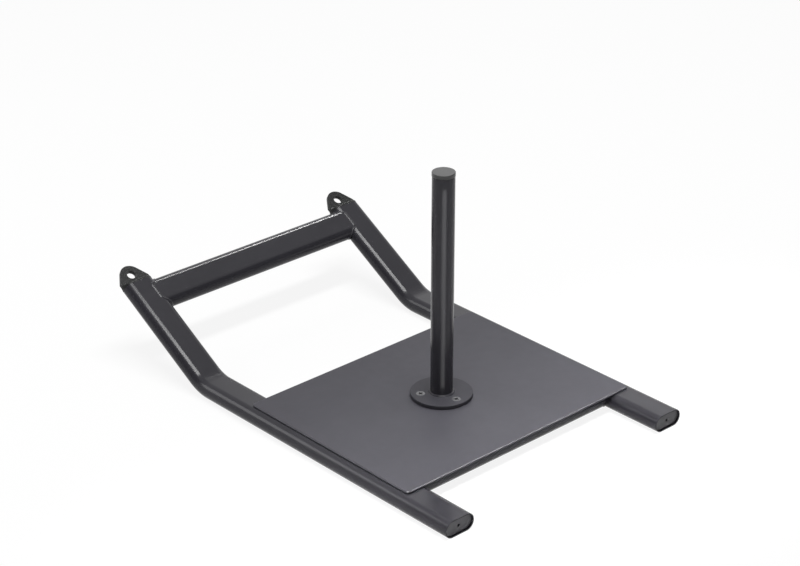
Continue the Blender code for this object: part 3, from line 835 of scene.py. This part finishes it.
def coat_bevel(deck):
    """Give the bevel, the faces whose normal rises between two limits, a coat of its own."""
    deck.data.materials.append(powder_coat(
        "deck_edge_powder_coat", DECK_COLOR, DECK_DARKER, DECK_EDGE_ROUGHNESS, DECK_IOR, FRAME_PEEL
    ))
    normals = np.empty(3 * len(deck.data.polygons), 'f')
    deck.data.polygons.foreach_get("normal", normals)
    rise = normals[2::3]
    bevelled = (rise > BEVEL_RISE[0]) & (rise < BEVEL_RISE[1])
    deck.data.polygons.foreach_set("material_index", bevelled.astype('i'))


deck_coat = powder_coat(
    "deck_powder_coat", DECK_COLOR, DECK_DARKER, DECK_ROUGHNESS, DECK_IOR, DECK_PEEL
)
# the coat pulls thin and smooth over the broken edge
coat_bevel(skin("deck_sheet", deck_shells(), deck_coat, "deck_plate"))

# Post foot: a turned steel disc with three countersunk holes, screwed down on the deck. The post
# is welded to its middle, and its own coat is as matt as the deck's.
FLANGE_RADIUS = 0.03525
FLANGE_THICKNESS = 0.0045
FLANGE_BOTTOM = DECK_TOP + SEAT
FLANGE_TOP = FLANGE_BOTTOM + FLANGE_THICKNESS
FLANGE_EDGE = 0.0006
FLANGE_STEPS = 144
FLANGE_COLOR = (0.0400, 0.0390, 0.0465)
FLANGE_DARKER = (0.0360, 0.0350, 0.0420)
SCREW_HEAD_RADIUS = 0.005
HOLE_STEPS = 64
HEAD_SINK = 0.0001


def countersink():
    """Countersunk hole from the top face down: the screw's own cone grown by the clearance."""
    head, shank = SCREW_HEAD_RADIUS + HOLE_CLEARANCE, SCREW_SHANK_RADIUS + HOLE_CLEARANCE
    half = FLANGE_THICKNESS / 2
    rim = half - HEAD_SINK
    return [(head, half), (head, rim), (shank, rim - (head - shank)), (shank, -half)]


def flange_shells():
    """The disc, with a rounded rim and its countersunk holes."""
    outward = ring_of((0, 0), 1.0, FLANGE_STEPS)
    holes = [(place, countersink(), HOLE_STEPS) for place in screw_places()]
    middle = Matrix.Translation((0, POST_Y, (FLANGE_BOTTOM + FLANGE_TOP) / 2))
    edge = edge_profile(FLANGE_THICKNESS, FLANGE_EDGE)
    return plate_shells(outward * FLANGE_RADIUS, outward, edge, holes, middle)


flange_coat = powder_coat(
    "flange_powder_coat", FLANGE_COLOR, FLANGE_DARKER, DECK_ROUGHNESS, FRAME_IOR, DECK_PEEL
)
skin("post_foot_flange", flange_shells(), flange_coat, "post_flange")

# Post: 25.4 mm steel tube, cut square and welded round its foot to the flange. The weight plates
# slide down over it, and it has the runners' glossier coat.
POST_RADIUS = 0.0127
POST_WALL = 0.0025
POST_LENGTH = 0.2619
POST_BOTTOM = FLANGE_TOP + SEAT
POST_TOP = POST_BOTTOM + POST_LENGTH
POST_STEPS = 96
FOOT_BEAD_UP = 0.0016
FOOT_BEAD_OUT = 0.0020
FOOT_BEAD_RISE = 0.0005
FOOT_BEAD_SAMPLES = 560


def round_axis(radius, height, steps, middle=(0, 0)):
    """Rings about an upright axis near the post's, from radii and heights with one row per ring.

    Each has one column, or one for each even step round.
    """
    turn = full_turn(steps)
    return np.stack([
        middle[0] + radius * np.cos(turn),
        POST_Y + middle[1] + radius * np.sin(turn),
        height + 0 * turn,
    ], -1)


def turned(profile, steps=POST_STEPS, middle=(0, 0)):
    """Profile of (radius, height) carried round an upright axis."""
    profile = np.asarray(profile, float)
    return round_axis(profile[:, :1], profile[:, 1:], steps, middle)


def post_profile():
    """Outside, top, bore and foot of the tube, as (radius, height)."""
    stations = np.array([CUT_EDGE, POST_LENGTH - CUT_EDGE])
    along, depth = wall_path(stations, POST_LENGTH, POST_WALL, CUT_EDGE).T
    return np.stack([POST_RADIUS - depth, POST_BOTTOM + along], -1)


def foot_bead_rings():
    """Bead round the post's foot, from a toe on the tube to a toe on the flange."""
    turn = full_turn(FOOT_BEAD_SAMPLES)
    round_post = np.stack([np.cos(turn), np.sin(turn), 0 * turn], -1)
    up = np.array([0, 0, 1.0])
    middle = np.array([0, POST_Y, FLANGE_TOP])
    root = middle + round_post * POST_RADIUS
    outward = (round_post + up) / math.sqrt(2)
    toes = root + up * FOOT_BEAD_UP, root, root + round_post * FOOT_BEAD_OUT
    return bead_rings(*toes, outward, turn * POST_RADIUS, FOOT_BEAD_RISE)


post_shells = [(turned(post_profile()), 'joined'), (foot_bead_rings(), 'joined')]
skin("post_tube_welded", post_shells, frame_coat, "post_tube")

# Post cap: a moulded plastic plug with a flat head over the tube's end. Two soft ribs on its stem
# grip the bore.
POST_CAP_RADIUS = 0.013
POST_CAP_HEIGHT = 0.0045
POST_CAP_BOTTOM = POST_TOP + SEAT
POST_CAP_TOP = POST_CAP_BOTTOM + POST_CAP_HEIGHT
POST_CAP_EDGE = 0.0008
POST_CAP_EDGE_STEPS = 6
STEM_RADIUS = 0.0093
STEM_LENGTH = 0.014
STEM_STEPS = 28
STEM_RIBS = 2
STEM_RIB_HEIGHT = 0.0006
STEM_RIB_REACH = 0.2
POST_CAP_COLOR = (0.044, 0.044, 0.044)
POST_CAP_DARKER = (0.038, 0.038, 0.038)
POST_CAP_ROUGHNESS = 0.36


def post_cap_profile():
    """Outline of the plug, as (radius, height): head, rim, and a stem that swells at its ribs.

    The ribs part the stem into even spaces. Each is a triangle that falls to nothing within its
    reach, a share of a space.
    """
    turn = np.linspace(math.pi / 2, 0, POST_CAP_EDGE_STEPS + 1)
    inner = np.array([POST_CAP_RADIUS - POST_CAP_EDGE, POST_CAP_TOP - POST_CAP_EDGE])
    edge = inner + POST_CAP_EDGE * np.stack([np.cos(turn), np.sin(turn)], -1)
    depth = np.linspace(0, STEM_LENGTH, STEM_STEPS + 1)
    spaces = depth * (STEM_RIBS + 1) / STEM_LENGTH
    from_rib = np.abs(spaces - np.clip(np.round(spaces), 1, STEM_RIBS))
    swell = STEM_RIB_HEIGHT * np.clip(1 - from_rib / STEM_RIB_REACH, 0, 1)
    stem = np.stack([STEM_RADIUS + swell, POST_CAP_BOTTOM - depth], -1)
    middle_top, middle_low = [0, POST_CAP_TOP], [0, POST_CAP_BOTTOM - STEM_LENGTH]
    rim = [POST_CAP_RADIUS, POST_CAP_BOTTOM]
    return np.concatenate([[middle_top], edge, [rim], stem, [middle_low]])


post_cap_plastic = moulded_plastic(
    "post_cap_plastic", POST_CAP_COLOR, POST_CAP_DARKER, POST_CAP_ROUGHNESS
)
post_cap_shells = [(turned(post_cap_profile()), 'open')]
skin("post_cap_plug", post_cap_shells, post_cap_plastic, "post_cap")

# Screws, washers and nuts: M5 countersunk screws with a cross recess hold the foot down, with a
# washer and a hexagon nut under the deck. All are zinc-plated steel.
SCREW_TOP = FLANGE_TOP - HEAD_SINK
SCREW_LENGTH = 0.016
SCREW_SHANK_START = 0.0035
SCREW_TIP_CHAMFER = 0.0004
SCREW_TIP_RADIUS = 0.0019
THREAD_PITCH = 0.0008
THREAD_DEPTH = 0.0004
THREAD_START = 0.0072
THREAD_RINGS = 8
RECESS_ARM = 0.0026
RECESS_HALF_WIDTH = 0.0007
RECESS_SLOPE = 0.00016
RECESS_END_SLOPE = 3 * RECESS_SLOPE
RECESS_DEPTH = 0.0018
RECESS_TURNS = (20, 55, 0)
SCREW_FACE_RINGS = 34
SCREW_STEPS = 96
WASHER_TOP = DECK_BOTTOM - SEAT
WASHER_THICKNESS = 0.001
WASHER_RADIUS = 0.005
WASHER_EDGE = 0.0003
NUT_TOP = WASHER_TOP - WASHER_THICKNESS - SEAT
NUT_THICKNESS = 0.0047
NUT_ACROSS_FLATS = 0.008
NUT_FACE_SHARE = 0.98
NUT_CHAMFER = math.radians(30)
NUT_CHAMFER_REACH = 0.0006
NUT_CHAMFER_RINGS = 7
NUT_SIDE_START = 0.0007
NUT_BORE_CHAMFER = 0.0005
NUT_STEPS = 96
ZINC_COLOR = (0.150, 0.150, 0.156)
ZINC_DARKER = (0.110, 0.110, 0.116)
ZINC_ROUGHNESS = (0.26, 0.38)
ZINC_IOR = 1.5
ZINC_GRAIN = [(0.0006, 0.000004)]
ZINC_SHADE_CLOUD = 0.0025
ZINC_GLOSS_CLOUD = 0.0012


def zinc_plate():
    """Zinc plating: bright metal with a faint cloudiness in shade and gloss."""
    material, tree, shader = new_finish(
        "zinc_plated_steel", ZINC_COLOR, sum(ZINC_ROUGHNESS) / 2, ZINC_IOR, metallic=1.0
    )
    shade = spread(tree, noise_at(tree, ZINC_SHADE_CLOUD, detail=3.0), 0, 1)
    mottle(tree, shader, shade, ZINC_COLOR, ZINC_DARKER)
    gloss = spread(tree, noise_at(tree, ZINC_GLOSS_CLOUD, detail=3.0), *ZINC_ROUGHNESS)
    tree.links.new(gloss, shader.inputs["Roughness"])
    raise_grain(tree, shader, ZINC_GRAIN)
    return material


def ease(value):
    """Smooth step from 0 to 1."""
    value = np.clip(value, 0, 1)
    return value * value * (3 - 2 * value)


def screw_rings(place, recess_turn):
    """Screw from its head's middle to its tip: recessed face, cone, shank and thread.

    The face is a height over (radius, angle) that drops by the recess depth where the point lies
    within an arm of the cross. The thread's radius is a triangle wave of height over pitch plus turns.
    """
    turn = full_turn(SCREW_STEPS)
    face = np.linspace(0, SCREW_HEAD_RADIUS, SCREW_FACE_RINGS)[:, None]
    x, y = face * np.cos(turn - recess_turn), face * np.sin(turn - recess_turn)
    within = RECESS_HALF_WIDTH - np.minimum(np.abs(x), np.abs(y))
    reach = RECESS_ARM - np.maximum(np.abs(x), np.abs(y))
    drop = ease(within / RECESS_SLOPE + 0.5) * ease(reach / RECESS_END_SLOPE + 0.5) * RECESS_DEPTH
    cone = SCREW_HEAD_RADIUS - SCREW_SHANK_RADIUS
    shank = np.arange(SCREW_SHANK_START, SCREW_LENGTH - SCREW_TIP_CHAMFER, THREAD_PITCH / THREAD_RINGS)
    depth = np.concatenate([[cone], shank])[:, None]
    phase = depth / THREAD_PITCH + turn / (2 * math.pi)
    cut = THREAD_DEPTH * (1 - np.abs(2 * (phase % 1) - 1)) * (depth > THREAD_START)
    tip = np.array([[SCREW_TIP_RADIUS], [0.0]])
    radius = np.concatenate([face + 0 * turn, SCREW_SHANK_RADIUS - cut, tip + 0 * turn])
    deep = np.concatenate([drop, depth + 0 * turn, SCREW_LENGTH + 0 * tip * turn])
    return round_axis(radius, SCREW_TOP - deep, SCREW_STEPS, place)


def nut_rings(place):
    """Hexagon nut: at each height the smaller of the hexagon's and the chamfer cone's radius.

    The hexagon's radius is half its width over the cosine of the angle from the nearest flat. The
    cone falls away from the corners towards both faces.
    """
    turn = full_turn(NUT_STEPS)
    from_flat = (turn + math.pi / 6) % (math.pi / 3) - math.pi / 6
    half = NUT_ACROSS_FLATS / 2
    near_face = np.linspace(0, NUT_CHAMFER_REACH, NUT_CHAMFER_RINGS)
    side = np.linspace(NUT_SIDE_START, NUT_THICKNESS - NUT_SIDE_START, 3)
    deep = np.concatenate([near_face, side, NUT_THICKNESS - near_face[::-1]])[:, None]
    cone = half * NUT_FACE_SHARE + np.minimum(deep, NUT_THICKNESS - deep) / math.tan(NUT_CHAMFER)
    outer = np.minimum(half / np.cos(from_flat), np.minimum(cone, half / math.cos(math.pi / 6)))
    bore, lead = SCREW_SHANK_RADIUS + HOLE_CLEARANCE / 2, NUT_BORE_CHAMFER
    inner = np.array([[bore + lead], [bore], [bore], [bore + lead]])
    inner_deep = np.array([[NUT_THICKNESS], [NUT_THICKNESS - lead], [lead], [0.0]])
    radius = np.concatenate([outer, inner + 0 * turn])
    return round_axis(radius, NUT_TOP - np.concatenate([deep, inner_deep]), NUT_STEPS, place)


def washer_rings(place):
    """Washer stamped from sheet: a flat ring with one rounded and one sharp edge."""
    low, inner = WASHER_TOP - WASHER_THICKNESS, SCREW_SHANK_RADIUS + HOLE_CLEARANCE
    turn = np.linspace(0, math.pi / 2, FINE_EDGE_STEPS + 1)
    middle = np.array([WASHER_RADIUS - WASHER_EDGE, low + WASHER_EDGE])
    rounded = middle + WASHER_EDGE * np.stack([np.cos(turn), -np.sin(turn)], -1)
    outline = [[[WASHER_RADIUS, WASHER_TOP]], rounded, [[inner, low], [inner, WASHER_TOP]]]
    return turned(np.concatenate(outline), HOLE_STEPS, place)


zinc = zinc_plate()
for number, (place, recess_turn) in enumerate(zip(screw_places(), np.radians(RECESS_TURNS)), 1):
    for kind, rings, ends in (
        ("screw", screw_rings(place, recess_turn), 'open'),
        ("washer", washer_rings(place), 'joined'),
        ("nut", nut_rings(place), 'joined'),
    ):
        name = f"{kind}_{number}"
        skin(f"foot_{name}", [(rings, ends)], zinc, f"flange_{name}")
